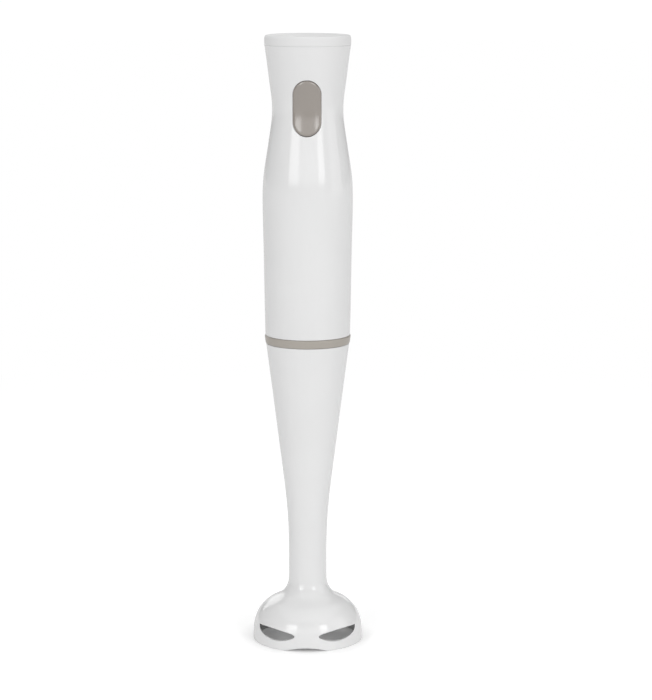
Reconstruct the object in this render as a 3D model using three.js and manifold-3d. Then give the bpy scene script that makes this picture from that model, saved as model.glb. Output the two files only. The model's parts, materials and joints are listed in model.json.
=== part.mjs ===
// Hand-held immersion blender: a motor unit with a waisted handle, and a twist-lock foot with a bell guard.
// Millimetres, +Z up. Origin on the axis, at the bell's bottom rim. The button faces -Y.
import * as THREE from "three";
import { mergeVertices } from "three/addons/utils/BufferGeometryUtils.js";
import Module from "manifold-3d";

// ---------------------------------------------------------------- driving dimensions
const HEIGHT = 360;
const WALL = 2.2; // handle shell
const SEG = 28; // facets round the large shells
const GAP = 0.3; // clearance between neighbours
const CAP_Z = 354.3; // seam of the top cap
const SHELL_Z0 = 184.8; // lower edge of the handle
const RING_Z0 = 179.85; // trim ring, bottom
const RING_Z1 = 184.6; // trim ring, top
const FOOT_Z1 = 179.65; // upper edge of the foot
const BELL_R = 32.72;
const SHAFT_R = 2.5;
const BORE_R = 2.62; // running fit on the shaft
const FIXED_BORE_R = 2.8; // pieces fixed on the shaft
const BUTTON_Z = 318.75; // centre of the button
const BUTTON_H = 31.3; // height of the button face
const BUTTON_W = 15.8; // width of the button face
const BUTTON_GAP = 0.3;
const BUTTON_LIP = 1.1; // lip behind the shell, all round
const TRAVEL = 2.0; // button travel, +Y
const LOCK_TWIST = 30; // degrees the foot turns to unlock
const LUG_DEG = 24;
const BLADE_R = 23;
const CAN_R = 19; // motor can

// Outer radius of the handle at height z.
const HANDLE = [
  [SHELL_Z0, 24.93], [192, 25.07], [215, 25.5], [240, 25.93], [255, 26.27], [264, 26.37], [271, 26.25],
  [277, 25.87], [284, 25.0], [292, 23.78], [300, 22.54], [307, 21.5], [313, 20.84], [318, 20.7], [323, 20.99],
  [329, 21.73], [340, 23.18], [354, 25.06],
];
// Outer radius of the foot: bell, neck and taper.
const FOOT = [
  [0, BELL_R], [5, 32.54], [10, 31.9], [14, 30.7], [17.8, 28.75], [20.2, 26.75], [22.25, 24.6], [23.9, 22.3],
  [25.2, 19.65], [26.55, 16.98], [28.15, 14.95], [30.2, 13.36], [32.8, 12.05], [37.5, 11.2], [57, 11.2], [68, 11.46],
  [80, 12.22], [92, 13.38], [110, 15.63], [145, 20.03], [177, 24.14], [FOOT_Z1, 24.5],
];
// Half-moon slot in the bell wall, seen from the front: distance from the middle, height.
const SLOT = [
  [28.3, 11.75], [25.2, 12.1], [20.1, 12.15], [15.3, 11.55], [10.6, 10.7], [8.4, 9.95], [7.25, 9.2], [7.0, 8.6], [7.4, 8.0],
  [9.6, 6.8], [13.0, 5.7], [16.6, 5.1], [20.1, 5.1], [23.1, 5.5], [26.0, 6.5], [27.6, 7.8], [28.4, 9.8],
];
const SCALLOP_HALF = 12.6; // half-width of the rim's scallop
const SCALLOP_H = 2.35;

const wasm = await Module();
wasm.setup();

// ---------------------------------------------------------------- helpers
const at = (table, z) => {
  if (z <= table[0][0]) return table[0][1];
  for (let i = 1; i < table.length; i++)
    if (z <= table[i][0]) {
      const [z0, r0] = table[i - 1], [z1, r1] = table[i];
      return r0 + ((r1 - r0) * (z - z0)) / (z1 - z0);
    }
  return table[table.length - 1][1];
};

// A closed geometry as a solid.
function solid(geometry) {
  const g = geometry.clone();
  g.deleteAttribute("normal");
  g.deleteAttribute("uv");
  const m = mergeVertices(g, 1e-4);
  const tri = [];
  const ix = m.index.array;
  for (let i = 0; i < ix.length; i += 3)
    if (ix[i] !== ix[i + 1] && ix[i + 1] !== ix[i + 2] && ix[i] !== ix[i + 2]) tri.push(ix[i], ix[i + 1], ix[i + 2]);
  const vertProperties = new Float32Array(m.attributes.position.array);
  let s = new wasm.Manifold(new wasm.Mesh({ numProp: 3, vertProperties, triVerts: new Uint32Array(tri) }));
  if (s.volume() < 0) {
    for (let i = 0; i < tri.length; i += 3) [tri[i + 1], tri[i + 2]] = [tri[i + 2], tri[i + 1]];
    s = new wasm.Manifold(new wasm.Mesh({ numProp: 3, vertProperties, triVerts: new Uint32Array(tri) }));
  }
  return s;
}

function geometryOf(s) {
  const mesh = s.getMesh();
  const g = new THREE.BufferGeometry();
  g.setAttribute("position", new THREE.BufferAttribute(new Float32Array(mesh.vertProperties), 3));
  g.setIndex(new THREE.BufferAttribute(new Uint32Array(mesh.triVerts), 1));
  return g;
}

// Solid turned about Z from (r, z) pairs. The profile ends on the axis, or closes on itself.
function lathe(pairs, segments = 20) {
  const pts = pairs.map(([r, z]) => new THREE.Vector2(r, z));
  return solid(new THREE.LatheGeometry(pts, segments).rotateX(Math.PI / 2));
}
const ring = (ri, ro, z0, z1, segments = 20) => lathe([[ri, z0], [ro, z0], [ro, z1], [ri, z1], [ri, z0]], segments);
const disc = (r, z0, z1, segments = 20) => lathe([[0, z0], [r, z0], [r, z1], [0, z1]], segments);
const box = (x0, x1, y0, y1, z0, z1) =>
  solid(new THREE.BoxGeometry(x1 - x0, y1 - y0, z1 - z0).translate((x0 + x1) / 2, (y0 + y1) / 2, (z0 + z1) / 2));
// Cylinder along Y.
const rodY = (r, x, z, y0, y1, segments = 12) =>
  solid(new THREE.CylinderGeometry(r, r, y1 - y0, segments).translate(x, (y0 + y1) / 2, z));
// Upright stadium, extruded along Y.
function stadiumY(w, h, zc, y0, y1, arc = 8) {
  const r = w / 2, s = new THREE.Shape(), d = h / 2 - r;
  s.absarc(0, d, r, 0, Math.PI, false);
  s.absarc(0, -d, r, Math.PI, 2 * Math.PI, false);
  const g = new THREE.ExtrudeGeometry(s, { depth: y1 - y0, bevelEnabled: false, curveSegments: arc });
  return solid(g.rotateX(Math.PI / 2).translate(0, y1, zc));
}
// Sector of a ring about Z, between two azimuths measured from +X.
function sector(ri, ro, a0, a1, z0, z1, arc = 8) {
  const s = new THREE.Shape(), k = Math.PI / 180;
  s.absarc(0, 0, ro, a0 * k, a1 * k, false);
  s.absarc(0, 0, ri, a1 * k, a0 * k, true);
  return solid(new THREE.ExtrudeGeometry(s, { depth: z1 - z0, bevelEnabled: false, curveSegments: arc }).translate(0, 0, z0));
}
function polygonZ(points, z0, z1) {
  const s = new THREE.Shape(points.map(([x, y]) => new THREE.Vector2(x, y)));
  return solid(new THREE.ExtrudeGeometry(s, { depth: z1 - z0, bevelEnabled: false }).translate(0, 0, z0));
}
const hexagon = (flats, z0, z1) => {
  const r = flats / Math.sqrt(3), p = [];
  for (let i = 0; i < 6; i++) p.push([r * Math.cos((i * Math.PI) / 3), r * Math.sin((i * Math.PI) / 3)]);
  return polygonZ(p, z0, z1);
};
// Round wire along points.
function wire(points, r, steps, sides = 6) {
  const s = new THREE.Shape();
  for (let i = 0; i < sides; i++) {
    const a = (i / sides) * 2 * Math.PI;
    i ? s.lineTo(r * Math.cos(a), r * Math.sin(a)) : s.moveTo(r * Math.cos(a), r * Math.sin(a));
  }
  s.closePath();
  const path = new THREE.CatmullRomCurve3(points.map((p) => new THREE.Vector3(...p)), false, "centripetal");
  return solid(new THREE.ExtrudeGeometry(s, { steps, bevelEnabled: false, extrudePath: path }));
}
// Helical spring: coils round `axis` ("x" or "y") through c, from a to b.
function spring(axis, c, a, b, coilR, wireR, turns) {
  const pts = [], n = turns * 8;
  for (let i = 0; i <= n; i++) {
    const t = i / n, w = (i / 8) * 2 * Math.PI, along = a + (b - a) * t;
    const u = coilR * Math.cos(w), v = coilR * Math.sin(w);
    pts.push(axis === "x" ? [along, c[1] + u, c[2] + v] : [c[0] + u, along, c[2] + v]);
  }
  return wire(pts, wireR, turns * 8, 4);
}
const union = (...s) => s.reduce((a, b) => a.add(b));
const cut = (a, ...s) => s.reduce((x, b) => x.subtract(b), a);

const part = new THREE.Group();
function node(name, s, color, roughness, metalness = 0, group = part) {
  const mesh = new THREE.Mesh(geometryOf(s), new THREE.MeshStandardMaterial({ color, roughness, metalness }));
  mesh.name = name;
  group.add(mesh);
  return mesh;
}
const WHITE = 0xe9e9e8, TAUPE = 0xa39c93, GREY = 0x9b9c9e, DARK = 0x2c2c2e, STEEL = 0xb9bcc0, COPPER = 0xb06a3a, PCB = 0x2d6a45;

// ---------------------------------------------------------------- handle shells
const handleSolid = lathe([[0, SHELL_Z0], ...HANDLE.map(([z, r]) => [r, z]), [0, 354]], SEG);
const innerZ = [192, 240, 264, 277, 292, 307, 318, 329, 354];
const innerHandle = [
  [at(HANDLE, SHELL_Z0) - WALL, SHELL_Z0],
  [at(HANDLE, 189.2) - WALL, 189.2],
  [20.6, 189.2], // shelf over the motor base
  [20.6, 190.8],
  ...innerZ.map((z) => [at(HANDLE, z) - WALL, z]),
];
const shell = lathe([...HANDLE.map(([z, r]) => [r, z]), ...innerHandle.reverse(), [HANDLE[0][1], HANDLE[0][0]]], SEG);
const ySplit = 0.15;
const frontHalf = box(-40, 40, -40, -ySplit, 180, 360);
const rearHalf = box(-40, 40, ySplit, 40, 180, 360);

const SCREW_Z = 297, LOWER_Z = 194.6, LOWER_X = 18.4;
const CLAMP_Z = 326, CLAMP_X = 8;
const GLAND_Z = 341;

// Bosses end inside the wall: they are trimmed to the handle's own outline.
const frontBosses = union(rodY(3.4, 0, SCREW_Z, -24, -ySplit), rodY(2.7, LOWER_X, LOWER_Z, -20, -ySplit, 12), rodY(2.7, -LOWER_X, LOWER_Z, -20, -ySplit, 12)).intersect(handleSolid);
const rearBosses = union(
  rodY(4.4, 0, SCREW_Z, ySplit, 24),
  rodY(3.2, LOWER_X, LOWER_Z, ySplit, 20, 12),
  rodY(3.2, -LOWER_X, LOWER_Z, ySplit, 20, 12),
  rodY(2.7, CLAMP_X, CLAMP_Z, 9.4, 24, 12),
  rodY(2.7, -CLAMP_X, CLAMP_Z, 9.4, 24, 12),
).intersect(handleSolid);

const buttonHole = stadiumY(BUTTON_W + 2 * BUTTON_GAP, BUTTON_H + 2 * BUTTON_GAP, BUTTON_Z, -40, -10);
node(
  "front_housing",
  cut(
    union(shell.intersect(frontHalf), frontBosses),
    buttonHole,
    rodY(1.7, 0, SCREW_Z, -12, 1, 10),
    rodY(1.5, LOWER_X, LOWER_Z, -9, 1, 8),
    rodY(1.5, -LOWER_X, LOWER_Z, -9, 1, 8),
  ),
  WHITE, 0.32,
);
node(
  "rear_housing",
  cut(
    union(shell.intersect(rearHalf), rearBosses),
    rodY(1.7, 0, SCREW_Z, -1, 24, 10),
    rodY(3.1, 0, SCREW_Z, 19.0, 30, 14),
    rodY(1.5, LOWER_X, LOWER_Z, -1, 20, 8),
    rodY(1.5, -LOWER_X, LOWER_Z, -1, 20, 8),
    rodY(2.5, LOWER_X, LOWER_Z, 11.5, 30, 12),
    rodY(2.5, -LOWER_X, LOWER_Z, 11.5, 30, 12),
    rodY(1.5, CLAMP_X, CLAMP_Z, 8, 15.5, 8),
    rodY(1.5, -CLAMP_X, CLAMP_Z, 8, 15.5, 8),
    rodY(5.8, 0, GLAND_Z, 15, 30, 18),
  ),
  WHITE, 0.32,
);

// ---------------------------------------------------------------- top cap
node(
  "top_cap",
  lathe(
    [
      [0, 355.8], [19.7, 355.8], [19.7, 348.5], [21.2, 348.5], [21.4, CAP_Z], [25.02, CAP_Z],
      [25.14, 355.8], [25.06, 358.2], [24.66, 359.5], [23.97, HEIGHT], [0, HEIGHT],
    ],
    SEG,
  ),
  WHITE, 0.34,
);

// ---------------------------------------------------------------- trim ring
node(
  "trim_ring",
  lathe([[19.4, RING_Z0], [24.6, RING_Z0], [24.86, 180.4], [25.05, 182.2], [25.28, 183.8], [25.16, RING_Z1], [19.4, RING_Z1], [19.4, RING_Z0]], SEG),
  TAUPE, 0.35, 0.1,
);

// ---------------------------------------------------------------- motor base with the bayonet boss
const LUG_AZ = [30, 150, 270];
const LUG_Z0 = 172.7, LUG_Z1 = 175.7;
node(
  "motor_base",
  union(
    ring(12.2, 22.2, 185.4, 188.8),
    ring(12.2, 19.0, 169.0, 185.6),
    ...LUG_AZ.map((a) => sector(18.6, 20.6, a - LUG_DEG / 2, a + LUG_DEG / 2, LUG_Z0, LUG_Z1, 4)),
  ),
  GREY, 0.5,
);
node("lower_motor_mount", ring(CAN_R + GAP, 22.6, 202.5, 208.5, 20), DARK, 0.8);
node("upper_motor_mount", ring(CAN_R + GAP, 23.2, 243, 249, 20), DARK, 0.8);

// ---------------------------------------------------------------- motor, fixed parts
node(
  "motor_can",
  lathe(
    [[5.3, 199.5], [CAN_R, 199.5], [CAN_R, 252.0], [CAN_R - 1.6, 252.0], [CAN_R - 1.6, 201.1], [6.9, 201.1], [6.9, 204.2], [5.3, 204.2], [5.3, 199.5]],
    24,
  ).subtract(union(...[45, 135, 225, 315].map((a) => sector(9.5, 14.5, a - 18, a + 18, 198, 202.5, 4)))),
  STEEL, 0.35, 0.9,
);
for (const [side, a] of [["left", 180], ["right", 0]])
  node("magnet_" + side, sector(14.3, 16.9, a - 62, a + 62, 206, 246, 10), DARK, 0.7);
const brushTube = (s) => {
  const x0 = s > 0 ? 8.6 : -17.0, x1 = s > 0 ? 17.0 : -8.6;
  return union(box(x0, x1, -3.7, 3.7, 253.6, 260.9).subtract(box(x0 - 1, x1 + 1, -2.6, 2.6, 254.6, 259.8)));
};
node(
  "end_bell",
  union(
    ring(16.9, CAN_R, 252.3, 262.4, 20),
    ring(6.4, 17.4, 260.4, 262.4, 20),
    ring(5.3, 7.4, 260.4, 265.4, 20),
    brushTube(1),
    brushTube(-1),
  ),
  0x4a4a4c, 0.6,
);
for (const [side, s] of [["left", -1], ["right", 1]]) {
  const x = (v) => s * v;
  node("carbon_brush_" + side, box(Math.min(x(7.35), x(13.2)), Math.max(x(7.35), x(13.2)), -2.3, 2.3, 254.9, 259.5), 0x1d1d1f, 0.8);
  node("brush_spring_" + side, spring("x", [0, 0, 257.2], x(13.8), x(16.2), 1.6, 0.28, 3), STEEL, 0.3, 0.9);
}
node("bearing_lower", ring(BORE_R, 5.0, 199.6, 203.6, 20), STEEL, 0.3, 0.9);
node("bearing_upper", ring(BORE_R, 5.0, 261.0, 265.0, 20), STEEL, 0.3, 0.9);

// ---------------------------------------------------------------- rotor
node("motor_shaft", disc(SHAFT_R, 183.2, 266.8, 20), STEEL, 0.25, 1);
const SLOTS = 8;
const slotBar = (i, w, r0, r1, z0, z1) => {
  const g = new THREE.BoxGeometry(r1 - r0, w, z1 - z0).translate((r0 + r1) / 2, 0, (z0 + z1) / 2).rotateZ(((i + 0.5) * 2 * Math.PI) / SLOTS);
  return solid(g);
};
node(
  "armature_core",
  cut(ring(FIXED_BORE_R, 13.6, 211, 241, 20), ...Array.from({ length: SLOTS }, (_, i) => slotBar(i, 3.4, 6.8, 16, 205, 250))),
  0x6d6f73, 0.45, 0.8,
);
node(
  "armature_windings",
  union(
    lathe([[4.6, 241.5], [12.4, 241.5], [12.9, 244], [11.6, 247], [4.6, 247.6], [4.6, 241.5]], 20),
    lathe([[4.6, 205.4], [11.6, 206], [12.9, 208.5], [12.4, 210.5], [4.6, 210.5], [4.6, 205.4]], 20),
    ...Array.from({ length: SLOTS }, (_, i) => slotBar(i, 2.6, 7.3, 12.2, 209, 243)),
  ),
  COPPER, 0.4, 0.6,
);
node("commutator", ring(FIXED_BORE_R, 7.0, 248.6, 259.6, 20), COPPER, 0.3, 0.9);
const bladeOfFan = (i) => solid(new THREE.BoxGeometry(8.6, 1.0, 5.2).rotateX(0.6).translate(9.4, 0, 194.4).rotateZ((i * Math.PI) / 3));
node(
  "cooling_fan",
  cut(union(disc(5.6, 191.6, 197.2, 16), disc(13.8, 191.6, 192.8, 20), ...Array.from({ length: 6 }, (_, i) => bladeOfFan(i))), disc(FIXED_BORE_R, 190, 199, 20)),
  0x3b3b3d, 0.5,
);
node("drive_coupling", cut(disc(8.4, 171.4, 190.8, 20), hexagon(8.2, 170, 182.3), disc(FIXED_BORE_R, 180, 192, 20)), DARK, 0.5);

// ---------------------------------------------------------------- electronics
node("control_board", box(-13, 13, 8, 9.6, 265.5, 290.5), PCB, 0.5);
node("bridge_rectifier", box(-12, 2.5, 4.2, 7.7, 267.5, 277.5), 0x222224, 0.5);
node("suppression_capacitor", box(-8, 10, 0.6, 7.7, 279, 289.5), 0xc9a227, 0.5);

// ---------------------------------------------------------------- switch and button
const SWITCH = { x: 3.2, y0: -10, y1: 0, z0: 309, z1: 329 };
node(
  "micro_switch",
  cut(box(-SWITCH.x, SWITCH.x, SWITCH.y0, SWITCH.y1, SWITCH.z0, SWITCH.z1), rodY(1.6, 0, BUTTON_Z, -11, -5.6, 12)),
  DARK, 0.5,
);
node("switch_plunger", rodY(1.3, 0, BUTTON_Z, -12.0, -8.2, 12), 0xb03a30, 0.5);
node(
  "switch_bracket",
  union(box(-9, 9, 0.4, 2.4, 305, 333), box(-5.2, -3.6, -9.4, 1, 307, 331), box(3.6, 5.2, -9.4, 1, 307, 331)),
  GREY, 0.5,
);
const lip = stadiumY(BUTTON_W + 2 * BUTTON_LIP, BUTTON_H + 2 * BUTTON_LIP, BUTTON_Z, -15.6, -14.0);
node(
  "power_button",
  union(
    stadiumY(BUTTON_W, BUTTON_H, BUTTON_Z, -30, -14.6).intersect(handleSolid),
    lip,
    rodY(1.5, 0, BUTTON_Z, -14.4, -12.4, 12),
  ),
  TAUPE, 0.25,
);
node("button_return_spring", spring("y", [0, 0, BUTTON_Z], -13.6, -10.45, 2.5, 0.28, 3), STEEL, 0.3, 0.9);

// ---------------------------------------------------------------- cable outlet
node(
  "cord_gland",
  cut(
    union(rodY(5.4, 0, GLAND_Z, 17.4, 30, 18).intersect(handleSolid), rodY(7.0, 0, GLAND_Z, 16.2, 18.4, 18)),
    rodY(3.3, 0, GLAND_Z, 10, 40, 16),
  ),
  DARK, 0.7,
);
node(
  "cord_clamp",
  cut(
    box(-11.4, 11.4, 6.6, 9.0, CLAMP_Z - 3, CLAMP_Z + 3),
    rodY(1.7, CLAMP_X, CLAMP_Z, 5, 10, 8),
    rodY(1.7, -CLAMP_X, CLAMP_Z, 5, 10, 8),
  ),
  DARK, 0.5,
);
// Screws are turned along Z at the origin, then laid along Y: "in" is the way the tip points.
function screwNode(name, x, z, yHead, yTip, headR, r, headH) {
  const len = Math.abs(yTip - yHead);
  let g = geometryOf(lathe([[0, 0], [headR, 0], [headR, headH], [r, headH], [r, len - 0.8], [r * 0.4, len], [0, len]], 8));
  g = g.rotateX(yTip < yHead ? Math.PI / 2 : -Math.PI / 2).translate(x, yHead, z);
  node(name, solid(g), STEEL, 0.3, 1);
}
screwNode("housing_screw_upper", 0, SCREW_Z, 21.2, -9, 2.7, 1.4, 1.8);
screwNode("housing_screw_lower_left", -LOWER_X, LOWER_Z, 13.4, -7.5, 2.1, 1.2, 1.5);
screwNode("housing_screw_lower_right", LOWER_X, LOWER_Z, 13.4, -7.5, 2.1, 1.2, 1.5);
screwNode("cord_clamp_screw_left", -CLAMP_X, CLAMP_Z, 4.9, 14.6, 2.3, 1.2, 1.4);
screwNode("cord_clamp_screw_right", CLAMP_X, CLAMP_Z, 4.9, 14.6, 2.3, 1.2, 1.4);

// ---------------------------------------------------------------- leads
node("motor_lead_1", wire([[-12.5, 5, 262.9], [-12.6, 5.2, 264.6], [-14.6, 7.2, 270], [-15.2, 9, 278], [-13.9, 9.6, 284]], 0.75, 12), 0xb02a2a, 0.5);
node("motor_lead_2", wire([[12.5, 5, 262.9], [12.6, 5.2, 264.6], [14.6, 7.2, 270], [15.2, 9, 278], [13.9, 9.6, 284]], 0.75, 12), 0x222226, 0.5);
node("switch_lead_1", wire([[-5.0, 11, 290.9], [-6.4, 10.6, 296], [-7.0, 6, 302], [-1.9, 3.6, 308], [-1.6, 3.2, 316]], 0.65, 12), 0x2f5fa8, 0.5);
node("switch_lead_2", wire([[5.0, 11, 290.9], [6.4, 10.6, 296], [7.0, 6, 302], [1.9, 3.6, 308], [1.6, 3.2, 316]], 0.65, 12), 0x8a5a32, 0.5);

// ---------------------------------------------------------------- foot
const innerFoot = [
  [30.22, 0], [29.9, 7], [28.5, 13.5], [26.0, 18.2], [22.2, 21.8], [17, 24.4], [9.2, 25.0], // bell ceiling
  [8.0, 17.0], [5.1, 16.4], // bearing boss
  [5.1, 29.2], [3.6, 29.3], [3.6, 31.4], // bushing seat
  [8.5, 34.0], [8.5, 66], [10.7, 92], [19.7, 163.6],
  [20.2, 168.6], [22.2, 169.4], [22.2, FOOT_Z1], // lock ring seat
];
const footLathe = lathe([...innerFoot, ...FOOT.slice().reverse().map(([z, r]) => [r, z]), innerFoot[0]], SEG);
// One slot cutter, pushed through the wall along Y, the way the mould's side core is drawn.
function slotCutter(sign, back) {
  const shape = new THREE.Shape(SLOT.map(([x, z]) => new THREE.Vector2(x * sign, z)));
  const g = new THREE.ExtrudeGeometry(shape, { depth: 38, bevelEnabled: false }).rotateX(Math.PI / 2).translate(0, -1.5, 0);
  if (back) g.rotateZ(Math.PI);
  return solid(g);
}
const scallopR = (SCALLOP_HALF ** 2 + SCALLOP_H ** 2) / (2 * SCALLOP_H);
const scallop = solid(new THREE.CylinderGeometry(scallopR, scallopR, 90, 72).translate(0, 0, SCALLOP_H - scallopR));
node(
  "foot_shell",
  cut(footLathe, scallop, slotCutter(1, false), slotCutter(-1, false), slotCutter(1, true), slotCutter(-1, true)),
  WHITE, 0.32,
);
// Bayonet ring: a ledge with three entry notches, and stops under it.
const lockStops = LUG_AZ.flatMap((a) => [
  sector(19.6, 21.3, a + LUG_DEG / 2 + 1, a + LUG_DEG / 2 + 6, 171.2, 176.4, 2),
  sector(19.6, 21.3, a - LUG_DEG / 2 - LOCK_TWIST - 6, a - LUG_DEG / 2 - LOCK_TWIST - 1, 171.2, 176.4, 2),
]);
node(
  "foot_lock_ring",
  union(
    ring(20.95, 21.9, 170.0, 179.0),
    cut(ring(19.35, 21.4, 176.0, 179.0), ...LUG_AZ.map((a) => sector(18, 20.95, a - LOCK_TWIST - 15, a - LOCK_TWIST + 15, 175, 180, 4))),
    ...lockStops,
  ),
  GREY, 0.5,
);
node("upper_bearing_plate", ring(5.1, 19.4, 164.2, 166.8, 20), GREY, 0.5);
node("upper_bushing", ring(BORE_R, 4.8, 163.4, 167.6, 20), 0x9c7a3c, 0.4, 0.8);
node("lower_bushing", ring(BORE_R, 4.8, 20.6, 29.0, 20), 0x9c7a3c, 0.4, 0.8);
node("shaft_seal", lathe([[BORE_R, 17.0], [3.6, 16.8], [4.8, 17.0], [4.8, 20.2], [BORE_R, 20.2], [BORE_R, 17.0]], 20), DARK, 0.8);

// ---------------------------------------------------------------- blade shaft
node("blade_shaft", disc(SHAFT_R, 6.6, 178.2, 20), STEEL, 0.22, 1);
node("shaft_coupling", cut(union(hexagon(7.4, 170.2, 181.0), disc(5.4, 169.2, 171.2, 16)), disc(FIXED_BORE_R, 168, 178.5, 20)), 0xe4e2dc, 0.5);
node("thrust_washer", ring(FIXED_BORE_R, 4.6, 167.8, 168.2, 16), STEEL, 0.3, 1);
node("shaft_circlip", cut(ring(FIXED_BORE_R, 4.4, 168.4, 169.0, 16), box(-1, 1, 0, 6, 168, 170)), DARK, 0.4, 0.8);
node("blade_hub", lathe([[FIXED_BORE_R, 10.9], [5.2, 10.9], [5.4, 11.8], [4.4, 14.8], [4.0, 16.3], [FIXED_BORE_R, 16.3], [FIXED_BORE_R, 10.9]], 20), 0xd9d8d4, 0.45);
// Two-wing blade: one wing dips, the other lifts.
function wing(sign, lift) {
  const g = new THREE.BoxGeometry(BLADE_R - 3, 9, 1.2, 9, 2, 1).translate((BLADE_R + 3) / 2, 0, 10.0);
  const p = g.attributes.position;
  for (let i = 0; i < p.count; i++) {
    const x = p.getX(i), y = p.getY(i);
    const t = (x - 3) / (BLADE_R - 3);
    const half = 1 - 0.42 * t * t;
    const bend = x > 9 ? (x - 9) * (x - 9) * 0.0145 * lift : 0;
    p.setY(i, y * half + 1.6 * t * t);
    p.setX(i, x - (Math.abs(y) > 4 ? 1.4 * t * t : 0));
    p.setZ(i, p.getZ(i) + bend);
  }
  return solid(sign > 0 ? g : g.rotateZ(Math.PI));
}
node("blade", cut(union(disc(6.0, 9.4, 10.6, 20), wing(1, 1), wing(-1, -1)), disc(FIXED_BORE_R, 8, 12, 20)), STEEL, 0.2, 1);
node("blade_nut", cut(union(hexagon(8.0, 6.4, 9.1), disc(3.4, 5.4, 6.6, 16)), disc(FIXED_BORE_R, 6.3, 10, 20)), STEEL, 0.25, 1);

export default part;
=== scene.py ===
"""Hand-held immersion blender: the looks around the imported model. Metres, +Z up, the button faces -Y."""

import json
import math

import bmesh
import bpy
import numpy as np
from mathutils import Matrix, Vector


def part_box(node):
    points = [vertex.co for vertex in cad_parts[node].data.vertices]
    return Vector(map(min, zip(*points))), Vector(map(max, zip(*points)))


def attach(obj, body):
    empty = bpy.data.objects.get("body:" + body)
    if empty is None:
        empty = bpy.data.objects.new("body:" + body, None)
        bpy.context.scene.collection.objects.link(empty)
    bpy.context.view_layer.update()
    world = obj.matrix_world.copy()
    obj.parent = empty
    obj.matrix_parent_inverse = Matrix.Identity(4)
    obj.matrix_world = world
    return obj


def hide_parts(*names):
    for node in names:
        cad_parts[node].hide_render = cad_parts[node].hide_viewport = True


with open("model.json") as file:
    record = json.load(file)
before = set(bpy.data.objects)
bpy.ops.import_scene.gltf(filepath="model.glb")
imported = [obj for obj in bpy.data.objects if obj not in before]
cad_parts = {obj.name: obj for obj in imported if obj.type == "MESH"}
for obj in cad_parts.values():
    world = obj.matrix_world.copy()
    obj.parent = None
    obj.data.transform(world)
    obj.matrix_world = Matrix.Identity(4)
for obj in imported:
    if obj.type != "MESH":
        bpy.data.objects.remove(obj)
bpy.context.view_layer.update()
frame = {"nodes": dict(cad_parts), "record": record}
MM = 0.001
scene = bpy.context.scene
scene.view_settings.view_transform = "Standard"
scene.view_settings.look = "None"
scene.view_settings.exposure = 0.0
scene.view_settings.gamma = 1.0

# ------------------------------------------------------------------ camera
cam = bpy.data.objects.new("camera", bpy.data.cameras.new("camera"))
scene.collection.objects.link(cam)
cam.data.lens = 125.11
cam.data.sensor_width = 36.0
CAM_AZ = math.radians(1.2)
cam.location = (1.415 * math.sin(CAM_AZ), -1.415 * math.cos(CAM_AZ), 0.4213)
aim = Matrix.Rotation(CAM_AZ - math.radians(0.437), 3, "Z") @ Matrix.Rotation(math.radians(80.13), 3, "X")
cam.rotation_euler = (aim @ Matrix.Rotation(math.radians(0.0745), 3, "Z")).to_euler()
cam.data.clip_start, cam.data.clip_end = 0.05, 60.0
scene.camera = cam

# ------------------------------------------------------------------ sizes, read from the frame
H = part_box("top_cap")[1].z / MM  # top of the cap
FOOT_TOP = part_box("foot_shell")[1].z / MM
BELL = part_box("foot_shell")[1].x / MM
SHELL_Z0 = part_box("front_housing")[0].z / MM
SHELL_Z1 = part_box("front_housing")[1].z / MM
RING_LO, RING_HI = (c.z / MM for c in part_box("trim_ring"))
BTN_LO, BTN_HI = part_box("power_button")
WALL = 2.2


# ------------------------------------------------------------------ curves
def natural(points, per=40):
    """A C2 curve through the points, as a dense polyline."""
    p = np.array(points, float)
    t = np.concatenate([[0], np.cumsum(np.linalg.norm(np.diff(p, axis=0), axis=1) ** 0.5)])
    n = len(p)
    h = np.diff(t)
    a = np.zeros((n, n))
    b = np.zeros((n, p.shape[1]))
    a[0, 0] = a[-1, -1] = 1
    for i in range(1, n - 1):
        a[i, i - 1], a[i, i], a[i, i + 1] = h[i - 1], 2 * (h[i - 1] + h[i]), h[i]
        b[i] = 6 * ((p[i + 1] - p[i]) / h[i] - (p[i] - p[i - 1]) / h[i - 1])
    m = np.linalg.solve(a, b)
    out = []
    for i in range(n - 1):
        s = np.linspace(0, 1, per, endpoint=False)[:, None] * h[i]
        out.append(
            m[i] * (h[i] - s) ** 3 / (6 * h[i])
            + m[i + 1] * s**3 / (6 * h[i])
            + (p[i] / h[i] - m[i] * h[i] / 6) * (h[i] - s)
            + (p[i + 1] / h[i] - m[i + 1] * h[i] / 6) * s
        )
    out.append(p[-1:])
    return np.concatenate(out)


class Profile:
    """Radius as a smooth function of height."""

    def __init__(self, table):
        d = natural([(z, r) for z, r in table])
        self.z, self.r = d[:, 0], d[:, 1]

    def __call__(self, z):
        return np.interp(z, self.z, self.r)


HANDLE = Profile([
    (184.8, 24.93), (189, 25.02), (195, 25.14), (210, 25.42), (230, 25.73), (248, 26.11), (260, 26.34), (267, 26.35), (273, 26.17),
    (279, 25.68), (286, 24.72), (294, 23.47), (302, 22.24), (308.5, 21.29), (314, 20.78), (318, 20.69), (322, 20.88),
    (328, 21.59), (335, 22.53), (344, 23.65), (354.3, 25.1),
])
FOOT = Profile([
    (0, 32.7), (4, 32.55), (8, 32.23), (11.5, 31.59), (14.8, 30.4), (17.8, 28.75), (20.2, 26.75), (22.25, 24.6), (23.9, 22.3),
    (25.2, 19.65), (26.55, 16.98), (28.15, 14.95), (30.2, 13.36), (32.6, 12.13), (35.2, 11.45), (38.5, 11.2), (46, 11.18), (56, 11.2), (64, 11.34),
    (72, 11.67), (80, 12.22), (90, 13.17), (105, 14.97), (125, 17.53), (150, 20.65), (168, 23.0), (176.5, 24.08), (180, 24.55),
])
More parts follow.
